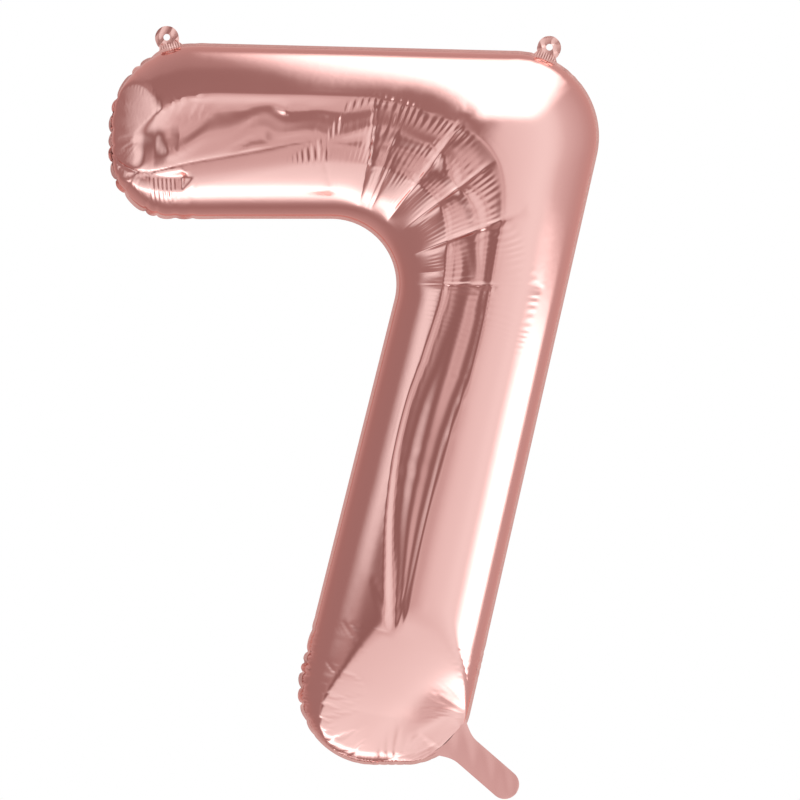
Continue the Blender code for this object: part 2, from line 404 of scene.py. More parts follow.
def base_form(side):
    """The film before its radial creases: a grid of points, a row to each slice across the tube."""
    outer, inner = lay_slices()
    middle = (outer + inner) / 2
    half = np.linalg.norm(outer - inner, axis=1) / 2
    across = (outer - inner) / (2 * half[:, None])
    turn = turns(ACROSS + 1)
    depth = TUBE_DEPTH + (np.maximum(half, TUBE_DEPTH) - TUBE_DEPTH) * DEPTH_GROWTH
    depth = eased(depth, EASING_REACH)[:, None]
    tube = depth * np.sin(turn)[None, :]
    reach = (half[:, None] * np.cos(turn)[None, :])[:, :, None]
    place = middle[:, None, :] + across[:, None, :] * reach
    inside = np.sin(turn)[None, :, None] ** 2
    place = place + (eased(place, EASING_REACH) - place) * inside
    rough = np.stack([place[..., 0], -tube, place[..., 1]], -1)
    sunk = front_folds(rough) if side < 0 else back_folds(rough)
    tube = np.maximum(tube - pocket(place) - sunk * off_seam(ACROSS + 1), 0)
    if side < 0:
        tube = with_patch(tube, place)
    height = soft_min(tube, end_facets(place, depth), RIDGE_SOFTNESS)
    height = np.maximum(height * clear_of_tail(place, NECK_REACH), LEAST_HEIGHT)
    height = with_lip_room(height, place)
    height[:, 0] = height[:, -1] = height[0] = height[-1] = 0
    return np.stack([place[..., 0], -height, place[..., 1]], -1)


# Folds. Angles are round the inner corner's centre, 0 to the right; reaches are from that centre.
RADIAL_CREASES = (
    # first angle, last angle, first reach, last reach, depth, width clockwise, width back
    (70, 76, 0.098, 0.222, 0.0042, 0.004, 0.014),
    (47, 50.5, 0.100, 0.246, 0.0060, 0.012, 0.005),
    (35.4, 35.9, 0.108, 0.238, 0.0055, 0.005, 0.012),
    (18.5, 19.5, 0.104, 0.246, 0.0050, 0.005, 0.012),
    (-1.2, -1.7, 0.100, 0.250, 0.0030, 0.005, 0.010),
    (64, 66, 0.098, 0.200, 0.0016, 0.003, 0.006),
    (61, 62.5, 0.098, 0.170, 0.0014, 0.003, 0.004),
    (90.5, 95, 0.114, 0.180, 0.0012, 0.003, 0.003),
    (6, 5, 0.098, 0.135, 0.0012, 0.003, 0.004),
)


def outward(form):
    """Unit normals of the grid, away from the gas."""
    down = np.gradient(form, axis=0)
    side = np.gradient(form, axis=1)
    normal = np.cross(side, down)
    normal /= np.maximum(np.linalg.norm(normal, axis=2, keepdims=True), 1e-9)
    facing = np.where(normal[..., 1:2] > 0, -1, 1)
    return normal * facing


def polar_place(form):
    """Each point's reach from the inner corner's centre, and its angle round it in degrees."""
    centre = ARCS["inner"].centre
    x, z = form[..., 0] - centre[0], form[..., 2] - centre[1]
    return np.hypot(x, z), np.degrees(np.arctan2(z, x))


def rise_and_fall(place, first, last):
    """0 at both ends of a run, a rounded hump between them, steep at its ends."""
    share = unit((place - first) / (last - first))
    return np.sin(math.pi * share) ** 0.6


def radial_creases(form, creases):
    """How deep the creases sink the film at each point."""
    reach, angle = polar_place(form)
    total = np.zeros(reach.shape)
    for first_angle, last_angle, start, end, depth, clockwise, back in creases:
        share = unit((reach - start) / (end - start))
        offset = np.radians(angle - first_angle - (last_angle - first_angle) * share) * reach
        width = np.where(offset < 0, clockwise, back)
        total += depth * rise_and_fall(reach, start, end) * np.exp(-np.abs(offset) / width)
    return total


# The long fold that runs the whole length of the tube: a flat strip from a ridge down to a
# valley, beside the inner lobe. Each knot is the walk along the tube and the turn round it,
# from the outer seam, in degrees.
RIDGE_KNOTS = (
    (0.24, 82), (0.34, 73), (0.45, 70), (0.75, 70), (1.14, 70), (1.38, 82), (1.66, 84), (1.90, 86),
    (2.05, 84), (2.26, 90), (2.45, 92), (2.60, 91), (2.72, 90),
)
VALLEY_KNOTS = (
    (0.18, 127), (0.30, 120), (0.42, 115), (0.73, 105), (0.93, 99), (1.29, 108), (1.43, 113), (1.67, 111),
    (2.00, 112), (2.20, 121), (2.32, 121), (2.45, 114), (2.58, 104), (2.74, 93),
)
FOLD_DEPTHS = (
    (0.10, 0.0085), (0.45, 0.0085), (0.80, 0.0065), (1.10, 0.0050), (1.50, 0.0055), (2.00, 0.0060),
    (2.20, 0.0080), (2.40, 0.0095), (2.56, 0.0100), (2.68, 0.0065), (2.76, 0),
)
LOBE_WIDTHS = ((0.3, 0.034), (0.9, 0.030), (1.2, 0.016), (1.5, 0.012), (2.1, 0.0130), (2.3, 0.0120))
LIP_DROPS = ((0.24, 0.0025), (0.45, 0.0110), (0.90, 0.0110), (1.20, 0.0050), (1.60, 0.0060), (2.60, 0.0050))
LIP_WIDTHS = ((0.9, 0.0060), (1.2, 0.0045), (1.6, 0.0085))
FULL_FOLD = 0.0060
KNOT_EASING = 17
# How quickly the fold's sharp bottom fades at the bar's end, and the depths of the film's waves
FOLD_LINE_FADE = 3.4
BAR_WAVE_DEPTH = 0.0020
STEM_WAVE_DEPTH = 0.0014
FLUTE_DEPTH = 0.0006
UNEVENNESS = 0.0004


def along_knots(walk, knots):
    """A knotted line's value at each row, with its corners rounded off."""
    steps = np.linspace(-0.3, 3.3, 361)
    values = np.interp(steps, *np.array(knots).T)
    kernel = np.hanning(KNOT_EASING + 2)[1:-1]
    values = np.convolve(np.pad(values, KNOT_EASING // 2, mode="edge"), kernel / kernel.sum(), "valid")
    return np.interp(walk, steps, values)[:, None]


def fold_places(form):
    """The rows' walk, the columns' turn, and the ridge, valley and presence of the long fold."""
    walk = walk_of(form)
    turn = np.degrees(turns(form.shape[1]))[None, :]
    presence = unit(along_knots(walk, FOLD_DEPTHS) / FULL_FOLD)
    return walk, turn, along_knots(walk, RIDGE_KNOTS), along_knots(walk, VALLEY_KNOTS), presence


def long_fold(form):
    """How deep the long fold and its strip are sunk at each point."""
    walk, turn, ridge, valley, presence = fold_places(form)
    depth = along_knots(walk, FOLD_DEPTHS)
    share = unit((turn - ridge) / (valley - ridge))
    sag = TUBE_DEPTH * (1 - np.cos(np.radians(valley - ridge) / 2)) * presence
    past_ridge = np.radians(np.maximum(turn - ridge, 0)) * TUBE_DEPTH
    drop = along_knots(walk, LIP_DROPS) * presence
    lip = drop * (1 - np.exp(-past_ridge / along_knots(walk, LIP_WIDTHS))) * (1 - share)
    past_valley = np.radians(np.maximum(turn - valley, 0)) * TUBE_DEPTH
    rise = unit(past_valley / along_knots(walk, LOBE_WIDTHS))
    beyond = depth * (1 - rise * rise * (3 - 2 * rise))
    return np.where(turn < valley, depth * share + 4 * sag * share * (1 - share) + lip, beyond)


def fold_line(form, depth, half_width):
    """The thin sharp bottom of the long fold along the bar."""
    walk, turn, _, valley, presence = fold_places(form)
    offset = np.radians(turn - valley) * TUBE_DEPTH
    in_bar = unit(FOLD_LINE_FADE * (1 - walk[:, None]))
    return depth * presence * in_bar * np.exp(-np.abs(offset) / half_width)


def strip_waves(form):
    """The unevenness of the loose film on the long fold's strip."""
    walk, turn, ridge, valley, presence = fold_places(form)
    walk = walk[:, None]
    inside = unit((turn - ridge - 2) / 7) * unit((valley - turn) / 7)
    inside = inside * unit((walk - 0.24) / 0.06)
    across = (turn - ridge) / np.maximum(valley - ridge, 1)
    swirl = 8 * across + 1.2 * np.sin(11 * walk + 0.4) + 0.5 * np.sin(27 * walk + 3 * across)
    in_bar = np.sin(swirl) + 0.35 * np.sin(2.1 * swirl + 5 * walk)
    in_stem = np.sin(8.5 * across + 0.6)
    down = unit((walk - 1.7) / 0.3)
    hump = np.sin(math.pi * unit(across)) * presence
    return inside * BAR_WAVE_DEPTH * in_bar * (1 - down) + hump * STEM_WAVE_DEPTH * in_stem * down


def flutes(form):
    """Long shallow flutes down the stem, and a slight unevenness everywhere."""
    x, z = form[..., 0], form[..., 2]
    turn = turns(form.shape[1])[None, :]
    low, high = seam_box()
    down = unit((high[2] - 0.25 - z) / 0.12) * unit((z - low[2] - 0.12) / 0.12)
    ripple = np.sin(turn * 17 + 2 * z)
    middle = np.exp(-((turn - 1.75) / 0.55) ** 2)
    uneven = UNEVENNESS * np.sin(23 * x + 11 * z) * np.sin(19 * z - 8 * x)
    return FLUTE_DEPTH * down * middle * ripple + uneven


def front_folds(form):
    return long_fold(form) + strip_waves(form) + flutes(form)


def fold(form, depth):
    """The grid pressed in along its normals, except at its rim."""
    edge = np.ones(form.shape[:2]) * off_seam(form.shape[1])
    edge[0] = edge[-1] = 0
    return form - outward(form) * (depth * edge)[..., None]


def grid_faces(rows, columns):
    index = np.arange(rows * columns).reshape(rows, columns)
    corners = (index[:-1, :-1], index[:-1, 1:], index[1:, 1:], index[1:, :-1])
    return np.stack(corners, -1).reshape(-1, 4)


def mesh_object(name, points, faces):
    mesh = bpy.data.meshes.new(name)
    mesh.from_pydata(points, [], faces)
    mesh.update()
    obj = bpy.data.objects.new(name, mesh)
    bpy.context.scene.collection.objects.link(obj)
    return obj


def grid_object(name, form):
    faces = grid_faces(*form.shape[:2])
    return mesh_object(name, form.reshape(-1, 3).tolist(), faces.tolist())


# The cloth simulation, run ten times larger than life, and the share of its movement kept
SIM_SCALE = 10.0
SIM_FRAMES = 12
FILM_STIFFNESS = 300.0
GAS_PRESSURE = 8.0
GIVE = 0.30


def blow_up(form, rest):
    """Cloth simulation of the gas pressing on the film, whose seam is held."""
    obj = grid_object("inflating", form * SIM_SCALE)
    obj.shape_key_add(name="Basis")
    cut = obj.shape_key_add(name="cut")
    cut.data.foreach_set("co", (rest * SIM_SCALE).ravel())
    rows, columns = form.shape[:2]
    index = np.arange(rows * columns).reshape(rows, columns)
    rim = np.unique(np.concatenate((index[0], index[-1], index[:, 0], index[:, -1])))
    seam = obj.vertex_groups.new(name="seam")
    seam.add([int(i) for i in rim], 1.0, "REPLACE")
    cloth = obj.modifiers.new("gas", "CLOTH")
    film = cloth.settings
    film.rest_shape_key = cut
    film.vertex_group_mass = "seam"
    film.quality = 8
    film.mass = 0.01
    film.air_damping = 1.0
    film.tension_stiffness = FILM_STIFFNESS
    film.compression_stiffness = FILM_STIFFNESS
    film.shear_stiffness = FILM_STIFFNESS / 4
    film.bending_stiffness = 0.5
    film.tension_damping = film.compression_damping = film.shear_damping = 5
    film.use_pressure = True
    film.uniform_pressure_force = GAS_PRESSURE
    film.effector_weights.gravity = 0
    cloth.collision_settings.use_collision = False
    scene = bpy.context.scene
    scene.frame_start = cloth.point_cache.frame_start = 1
    scene.frame_end = cloth.point_cache.frame_end = SIM_FRAMES
    for step in range(1, SIM_FRAMES + 1):
        scene.frame_set(step)
    blown = obj.evaluated_get(bpy.context.evaluated_depsgraph_get()).data
    places = np.empty(len(blown.vertices) * 3, np.float32)
    blown.vertices.foreach_get("co", places)
    bpy.data.objects.remove(obj, do_unlink=True)
    scene.frame_set(1)
    return places.reshape(form.shape).astype(float) / SIM_SCALE


# Puckers along the seam: where, half the stretch they fill, their pitch, how far the edge is
# scalloped, and how deep and how far into the film their grooves run
PUCKERS = {
    "left_end": (0.200, 0.0215, 0.0036, 0.0030, 0.012),
    "foot_left": (0.080, 0.0175, 0.0036, 0.0026, 0.022),
    "foot_right": (0.040, 0.0085, 0.0006, 0.0012, 0.018),
    "top_right": (0.055, 0.0110, 0.0007, 0.0012, 0.018),
    "foot_bottom": (0.070, 0.0125, 0.0005, 0.0005, 0.010),
}


def pucker_places():
    """The middle of each stretch of puckers, in the seam's plane."""
    low = seam_box()[0]
    foot, right = ARCS["stem_left"], ARCS["stem_right"]
    return {
        "left_end": np.array((low[0], ARCS["top_left"].centre[1] - 0.015)),
        "foot_left": foot.centre + np.array((-foot.radius, 0.018)),
        "foot_right": right.centre + np.array((right.radius, 0.045)),
        "top_right": ARCS["top_right"].at(0.25),
        "foot_bottom": foot.centre + np.array((0.03, -foot.radius)),
    }


def ring_indices(rows, columns):
    """The grid's border as one loop: along the outer edge, round the foot, and back."""
    top = [(i, 0) for i in range(rows)]
    foot = [(rows - 1, j) for j in range(1, columns)]
    under = [(i, columns - 1) for i in range(rows - 2, -1, -1)]
    end = [(0, j) for j in range(columns - 2, 0, -1)]
    return np.array(top + foot + under + end)


def ring_frame(form):
    """The seam as a loop: its places, its outward directions and its running length."""
    rows, columns = form.shape[:2]
    index = ring_indices(rows, columns)
    places = form[index[:, 0], index[:, 1]]
    flat = places[:, (0, 2)]
    along = np.roll(flat, -3, 0) - np.roll(flat, 3, 0)
    along /= np.linalg.norm(along, axis=1, keepdims=True)
    out = np.stack((-along[:, 1], along[:, 0]), 1)
    steps = np.linalg.norm(np.roll(flat, -1, 0) - flat, axis=1)
    return index, places, out, np.cumsum(steps) - steps[0]


def gaps_along(places, length, place):
    """The seam point nearest a place, and how far each seam point is from it along the seam."""
    nearest = np.argmin(np.linalg.norm(places[:, (0, 2)] - place, axis=1))
    gaps = np.abs(length - length[nearest])
    return nearest, np.minimum(gaps, length[-1] - gaps)


def pucker_waves(form):
    """For each seam point: scallop, flutter, groove depth and groove reach."""
    index, places, out, length = ring_frame(form)
    scallop, flutter, groove = np.zeros((3, len(places)))
    reach = np.full(len(places), 0.02)
    for name, place in pucker_places().items():
        half, pitch, swing, depth, inward = PUCKERS[name]
        gap = gaps_along(places, length, place)[1]
        window = np.where(gap < half, np.maximum(np.cos(gap / half * math.pi / 2), 0) ** 1.2, 0)
        uneven = length + 0.22 * pitch * np.sin(length * 70) + 0.15 * pitch * np.sin(length * 131 + 2)
        wave = np.sin(math.pi * uneven / pitch)
        scallop += window * swing * (np.abs(wave) ** 0.6 - 0.7)
        flutter += window * swing * 0.22 * wave
        cleft = np.exp(-np.abs(wave) / 0.35)
        groove += window * depth * cleft
        reach = np.where(window > 0.05, inward, reach)
    return index, places, out, scallop, flutter, groove, reach


def pucker(form, side):
    """Scallop the seam and press its grooves into the film; side -1 is the front."""
    index, places, out, scallop, flutter, groove, reach = pucker_waves(form)
    flat = form.reshape(-1, 3)
    nearest, distance = nearest_on_seam(form, places)
    fade = np.exp(-distance / 0.030)
    shift = np.zeros(flat.shape)
    shift[:, 0] = out[nearest, 0] * scallop[nearest] * fade
    shift[:, 2] = out[nearest, 1] * scallop[nearest] * fade
    shift[:, 1] = -side * flutter[nearest] * fade
    depth = groove[nearest] * np.exp(-distance / reach[nearest]) * unit(distance / 0.006)
    normals = outward(form).reshape(-1, 3)
    return (flat + shift - normals * depth[:, None]).reshape(form.shape)


def refine(form):
    """Halve the grid's steps along a smooth curve through its points."""
    for axis in (0, 1):
        points = np.moveaxis(form, axis, 0)
        fine = np.empty((2 * len(points) - 1,) + points.shape[1:])
        fine[0::2] = points
        fine[1::2] = (points[:-1] + points[1:]) / 2
        fine[3:-2:2] += (points[1:-2] + points[2:-1] - points[:-3] - points[3:]) / 16
        form = np.moveaxis(fine, 0, axis)
    return form


def crown_length(form):
    """How far along the tube each slice lies, measured on its crown."""
    crown = form[:, form.shape[1] // 2]
    steps = np.linalg.norm(np.diff(crown, axis=0), axis=1)
    return np.concatenate(([0], np.cumsum(steps)))


# The ribs round the inner corner: pitch, height, and how far out they reach by angle
RIB_PITCH = 0.0066
RIB_HEIGHT = 0.00026
RIB_EDGE = (
    (-30, 0.235), (-3, 0.250), (20, 0.224), (50, 0.240), (75, 0.228), (84, 0.215), (92, 0.168),
    (112, 0.160),
)
# The ribs on the flat patch: its place and size, their pitch and height, and its dent
PATCH_PLACE = (-0.2270, -0.1800)
PATCH_HALF = (0.021, 0.016)
PATCH_PITCH = 0.0050
PATCH_RIB_HEIGHT = 0.00055
PATCH_DENT = 0.0012


def ribs(form):
    """The fine ribs that gather the film's spare length round the inner corner."""
    reach, angle = polar_place(form)
    along = crown_length(form)[:, None]
    turn = turns(form.shape[1])[None, :]
    corner = unit((angle + 30) / 14) * unit((112 - angle) / 14)
    ragged = 0.006 * np.sin(along * 95) + 0.004 * np.sin(along * 240 + 1)
    edge = np.interp(angle, *np.array(RIB_EDGE).T)
    band = unit((reach - 0.116 - ragged) / 0.02) * unit((edge - reach) / 0.008)
    near_edge = unit((reach - edge + 0.034) / 0.016)
    teeth = 0.55 + 1.7 * near_edge * np.clip((angle - 2) / 8, 0.1, 1)
    uneven = along + 0.0012 * np.sin(along * 160) + 0.0009 * np.sin(turn * 9 + along * 40)
    wave = np.sin(2 * math.pi * uneven / RIB_PITCH)
    broken = 0.60 + 0.70 * np.sin(turn * 13 + 60 * along) * np.sin(turn * 7 - 35 * along + 1)
    return RIB_HEIGHT * corner * band * teeth * wave * np.clip(broken, 0.05, 1.2)


def patch_ribs(form):
    """The small gathered patch where the inner lobe starts at the bar's left end."""
    x = (form[..., 0] - PATCH_PLACE[0]) / PATCH_HALF[0]
    z = (form[..., 2] - PATCH_PLACE[1]) / PATCH_HALF[1]
    inside = unit(1.6 - 1.6 * np.maximum(np.abs(x), np.abs(z)))
    wave = np.sin(2 * math.pi * form[..., 0] / PATCH_PITCH + 0.8 * z)
    dent = PATCH_DENT * unit(1 - x * x - z * z)
    return inside * (PATCH_RIB_HEIGHT * wave - dent)


# Fine ribs run in from the seam beside some of the puckers: pitch, height, and how far in
# they start, fill out and end
EDGE_RIBS = {
    "foot_left": (0.0054, 0.00085, 0.004, 0.052, 0.010),
    "foot_right": (0.0048, 0.00050, 0.010, 0.036, 0.008),
    "foot_bottom": (0.0046, 0.00014, 0.012, 0.022, 0.006),
    "top_right": (0.0050, 0.00012, 0.006, 0.018, 0.006),
}


def nearest_on_seam(form, places):
    """For each grid point: the index of the nearest seam point, and the distance to it."""
    flat = form.reshape(-1, 3)
    nearest = np.empty(len(flat), int)
    distance = np.empty(len(flat))
    for start in range(0, len(flat), 4000):
        gaps = np.linalg.norm(flat[start:start + 4000, None, :] - places[None, :, :], axis=2)
        nearest[start:start + 4000] = gaps.argmin(1)
        distance[start:start + 4000] = gaps.min(1)
    return nearest, distance


def edge_ribs(form):
    """The fine ribs that run in from the seam beside its puckers."""
    places, length = ring_frame(form)[1::2]
    total = np.zeros(form.shape[:2])
    flat = form.reshape(-1, 3)
    for name, place in pucker_places().items():
        if name not in EDGE_RIBS:
            continue
        pitch, height, start, end, soft = EDGE_RIBS[name]
        half = PUCKERS[name][0]
        middle, gap = gaps_along(places, length, place)
        share = gap / half
        chosen = np.nonzero(np.linalg.norm(flat - places[middle], axis=1) < half + 0.06)[0]
        local = np.nonzero(share < 1.2)[0]
        gaps = np.linalg.norm(flat[chosen][:, None, :] - places[local][None, :, :], axis=2)
        nearest = local[gaps.argmin(1)]
        distance = gaps.min(1)
        window = unit(1.4 - 1.4 * share[nearest])
        window = window * unit((distance - start) / soft)
        window = window * unit((end - distance) / soft)
        wobble = 0.25 * pitch * np.sin(length[nearest] * 310 + distance * 60)
        wave = np.sin(2 * math.pi * (length[nearest] + wobble) / pitch)
        total.reshape(-1)[chosen] += height * window * wave
    return total


# The folds' sharp bottoms: a share of each crease's depth, and the long fold's own depth
SHARP_SHARE = 0.11
SHARP_HALF_WIDTH = 0.0020
SHARP_FOLD = (0.0034, 0.0042)


def sharp_lines(form, creases):
    """The thin sharp bottoms of the folds, finer than the cloth's grid."""
    widths = (SHARP_HALF_WIDTH, SHARP_HALF_WIDTH)
    thin = [(*crease[:4], crease[4] * SHARP_SHARE, *widths) for crease in creases]
    return radial_creases(form, thin) + fold_line(form, *SHARP_FOLD)


def film_form(side):
    """One half of the skin, side -1 for the front, before it is smoothed."""
    form = base_form(side)
    creases = RADIAL_CREASES if side < 0 else BACK_CREASES
    form = pucker(fold(form, radial_creases(form, creases)), side)
    form = form + GIVE * (blow_up(form, form) - form)
    form = refine(form)
    form = fold(form, sharp_lines(form, creases))
    height = ribs(form) + edge_ribs(form)
    if side < 0:
        height += patch_ribs(form)
    edge = np.ones(form.shape[:2])
    edge[0] = edge[-1] = edge[:, 0] = edge[:, -1] = 0
    form = form + outward(form) * (height * edge)[..., None]
    form[..., 1] *= -side
    return form


BACK_CREASES = (
    (74, 78, 0.098, 0.220, 0.0045, 0.004, 0.012),
    (57, 55, 0.100, 0.240, 0.0065, 0.012, 0.004),
    (40, 39, 0.106, 0.238, 0.0060, 0.004, 0.012),
    (24, 22, 0.104, 0.246, 0.0065, 0.012, 0.004),
    (6, 4, 0.100, 0.240, 0.0045, 0.004, 0.010),
    (-9, -8, 0.098, 0.150, 0.0020, 0.003, 0.004),
    (94, 90, 0.100, 0.140, 0.0022, 0.004, 0.004),
)


def back_folds(form):
    return 0.8 * long_fold(form) + 0.7 * strip_waves(form) + flutes(form)


def finished(obj, material, body, nodes):
    """Paint a piece, hide the CAD nodes it stands in for, and let it ride on its body, if it has one."""
    obj.data.materials.append(material)
    if body:
        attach(obj, body)
    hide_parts(*nodes)
    return obj


def make_skin(side, name, node, material):
    form = film_form(side)
    skin = grid_object(name, form)
    if side > 0:
        skin.data.flip_normals()
    skin.data.shade_smooth()
    finished(skin, material, "balloon", [node])
    return skin, form


def solid_from_layers(name, layers, wrap):
    """A closed mesh from a front and a back grid of points; wrap joins its first side to its last."""
    front, back = layers
    rows, columns = front.shape[:2]
    count = rows * columns
    faces = []

    def add_wall(first, last, flip):
        wall = (first, last, count + last, count + first)
        faces.append(wall[::-1] if flip else wall)

    for i in range(rows if wrap else rows - 1):
        here, after = i * columns, (i + 1) % rows * columns
        for j in range(columns - 1):
            quad = (here + j, here + j + 1, after + j + 1, after + j)
            faces.append(quad)
            faces.append(tuple(count + k for k in reversed(quad)))
        add_wall(here, after, False)
        add_wall(here + columns - 1, after + columns - 1, True)
    if not wrap:
        for here, flip in ((0, True), ((rows - 1) * columns, False)):
            for j in range(columns - 1):
                add_wall(here + j, here + j + 1, flip)
    points = np.concatenate((front.reshape(-1, 3), back.reshape(-1, 3)))
    obj = mesh_object(name, points.tolist(), faces)
    obj.data.shade_smooth()
    obj.data.set_sharp_from_angle(angle=math.radians(40))
    return obj


def layers_about(middle, half_thickness):
    """A front and a back grid of points, on either side of a middle one."""
    front, back = middle.copy(), middle.copy()
    front[..., 1] -= half_thickness
    back[..., 1] += half_thickness
    return front, back


FLANGE_HALF_THICKNESS = 0.00012


def make_seam(form, material):
    """The fused band outside the film's edge, which flutters where the film is puckered."""
    places, out = ring_frame(form)[1:3]
    halfway = np.arange(len(places)) / 2
    scallop, flutter = (
        np.interp(halfway, np.arange(len(wave) + 1), np.append(wave, wave[0]))
        for wave in pucker_waves(base_form(-1))[3:5]
    )
    width = np.linspace(0, 1, 4)[None, :]
    edge = places[:, None, :].repeat(4, 1)
    band = SEAM_WIDTH - 0.0002 + 0.5 * scallop[:, None]
    edge[..., 0] += out[:, None, 0] * band * width
    edge[..., 2] += out[:, None, 1] * band * width
    edge[..., 1] += 0.9 * flutter[:, None] * width
    seam = solid_from_layers("seam_flange", layers_about(edge, FLANGE_HALF_THICKNESS), True)
    return finished(seam, material, "balloon", ["perimeter_seam"])


STRIP_GRID = (60, 20)
STRIP_CURL = 0.001
STRIP_RIPPLE = 0.00022
# The share of its height that a strip keeps at its edge, and how far its swollen root reaches
STRIP_EDGE = 0.25
SWELL_REACH = 0.012
# How far along the strip it takes to straighten out from the film's curved edge
STRAIGHT_AFTER = 0.02
# Each strip's height off the middle plane, half thickness and bulge
TAIL_LAYER = (0.00075, 0.00006, 0.0006)
VALVE_LAYER = (0.00025, 0.00003, 0.001)


def strip_layers(width, length, flare, side, layer):
    """Front and back of a strip along the tail, with a round end and a flared root."""
    root, along, across = tail_frame()
    height, half_thickness, bulge = layer
    radius = width / 2
    root_radius = ARCS["stem_right"].radius - SEAM_WIDTH
    rows, columns = STRIP_GRID
    share = np.linspace(0, 1, rows)[:, None]
    overlap = TAIL_OVERLAP if flare else 0
    far = length * np.sin(share * math.pi / 2) ** 0.9 - overlap * (1 - share) ** 8
    round_end = np.sqrt(np.maximum(radius ** 2 - (far - length + radius) ** 2, 0))
    half = np.where(far > length - radius, round_end, radius)
    half = half + flare * unit(1 - np.maximum(far, 0) / TAIL_FLARE_LENGTH) ** 2
    aside = np.linspace(-1, 1, columns)[None, :] * half
    bend_back = root_radius - np.sqrt(np.maximum(root_radius ** 2 - aside ** 2, 0))
    out = far - bend_back * (1 - unit(far / STRAIGHT_AFTER)) * (1 if flare else 0)
    x = root[0] + along[0] * out + across[0] * aside
    z = root[1] + along[1] * out + across[1] * aside
    round_section = 1 - (aside / np.maximum(half, 1e-6)) ** 2
    swell = bulge * round_section * np.exp(-np.maximum(far, 0) / SWELL_REACH)
    if flare:
        swell = swell + ROOT_SPREAD * np.maximum(-far, 0)
    ripple = STRIP_RIPPLE * np.sin(far * 210 + 3 * aside / radius) * round_section
    lift = STRIP_CURL * np.sin(far / length * math.pi) + ripple
    edge = STRIP_EDGE + (1 - STRIP_EDGE) * round_section
    y = side * height * edge + side * swell + lift
    return layers_about(np.stack(np.broadcast_arrays(x, y, z), -1), half_thickness)


def blend_at_tail(piece):
    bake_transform(piece)


def make_tail(foil, clear):
    """The tail's two films, and the valve's two films between them."""
    for face, side in (("front", -1), ("back", 1)):
        layers = strip_layers(TAIL_WIDTH, TAIL_REACH, TAIL_FLARE, side, TAIL_LAYER)
        film = solid_from_layers(f"tail_film_{face}", layers, False)
        finished(film, foil, None, [f"tail_{face}_film"])
        blend_at_tail(film)
        layers = strip_layers(VALVE_WIDTH, VALVE_REACH, 0, side, VALVE_LAYER)
        valve = solid_from_layers(f"valve_film_{face}", layers, False)
        finished(valve, clear, None, [f"valve_{face}_film"])
        blend_at_tail(valve)


TAB_ANGLES = {"left": math.radians(108), "right": math.radians(68)}
TAB_HEIGHT = 0.026
TAB_HALF_WIDTH = 0.0142
TAB_NECK_HALF_WIDTH = 0.0122
TAB_ROOT = 0.0040
TAB_HALF_THICKNESS = 0.00025
EYELET_HEIGHT = 0.0125
EYELET_RADIUS = 0.0040
# How high the tab's crumples and its root's gathers stand, and which crumples each tab has
CRUMPLE_HEIGHT = 0.0010
GATHER_HEIGHT = 0.0004
CRUMPLE_SEEDS = {"left": 1.0, "right": 2.4}


def tab_outline():
    """The tab's edge as a loop of (across, along) from its base, walked anticlockwise."""
    neck = TAB_NECK_HALF_WIDTH
    centre = TAB_HEIGHT - TAB_HALF_WIDTH
    turn = np.linspace(-0.15, math.pi + 0.15, 60)
    top = np.stack((np.cos(turn) * TAB_HALF_WIDTH, centre + np.sin(turn) * TAB_HALF_WIDTH), 1)
    left_neck = np.array(((-neck, 0.003), (-neck - 0.0010, 0.0005), (-neck - 0.0035, -0.0012)))
    root = np.array(((-neck, -TAB_ROOT), (neck, -TAB_ROOT)))
    return np.concatenate((top, left_neck, root, left_neck[::-1] * (-1, 1)))


def crumple(across, along, seed):
    """The way a small loose tab of film is creased out of its plane."""
    u = across * 210 + seed
    v = along * 190 - seed
    folds = np.abs(np.sin(u + 0.9 * np.sin(v))) - 0.6
    return folds + 0.7 * (np.abs(np.sin(1.3 * v - 0.8 * u + 2 * seed)) - 0.6)


def make_tab(side, arc, node, material):
    """A hanging tab: spokes of points from its eyelet out to its edge, crumpled a little."""
    angle = TAB_ANGLES[side]
    along = np.array((math.cos(angle), math.sin(angle)))
    across = np.array((along[1], -along[0]))
    base = arc.centre + along * arc.radius
    eyelet = np.array((0, EYELET_HEIGHT))
    reach = tab_outline() - eyelet
    turn = np.unwrap(np.arctan2(reach[:, 1], reach[:, 0]))
    spokes = np.linspace(0, 2 * math.pi, 120, endpoint=False)
    full_turn = np.concatenate((turn - 2 * math.pi, turn, turn + 2 * math.pi))
    full_reach = np.tile(np.linalg.norm(reach, axis=1), 3)
    edge = np.interp(spokes, full_turn, full_reach)
    share = np.linspace(0, 1, 22)[None, :]
    distance = EYELET_RADIUS + (edge[:, None] - EYELET_RADIUS) * share
    u = eyelet[0] + np.cos(spokes)[:, None] * distance
    v = eyelet[1] + np.sin(spokes)[:, None] * distance
    x = base[0] + across[0] * u + along[0] * v
    z = base[1] + across[1] * u + along[1] * v
    free = unit(v / 0.006)
    lift = CRUMPLE_HEIGHT * free * crumple(u, v, CRUMPLE_SEEDS[side])
    lift += GATHER_HEIGHT * (1 - free) * np.sin(u * 2100) * unit((v + TAB_ROOT) / 0.003)
    layers = layers_about(np.stack((x, lift, z), -1)[:, ::-1], TAB_HALF_THICKNESS)
    tab = solid_from_layers(f"tab_{side}", layers, True)
    finished(tab, material, None, [node])
    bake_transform(tab)


def node(tree, kind, inputs, output=0, **settings):
    """An output of a new node, whose inputs are constants or other nodes' outputs."""
    new = tree.nodes.new("ShaderNode" + kind)
    for name, value in settings.items():
        setattr(new, name, value)
    for key, value in inputs.items():
        if isinstance(value, bpy.types.NodeSocket):
            tree.links.new(value, new.inputs[key])
        else:
            new.inputs[key].default_value = value
    return new.outputs[output]


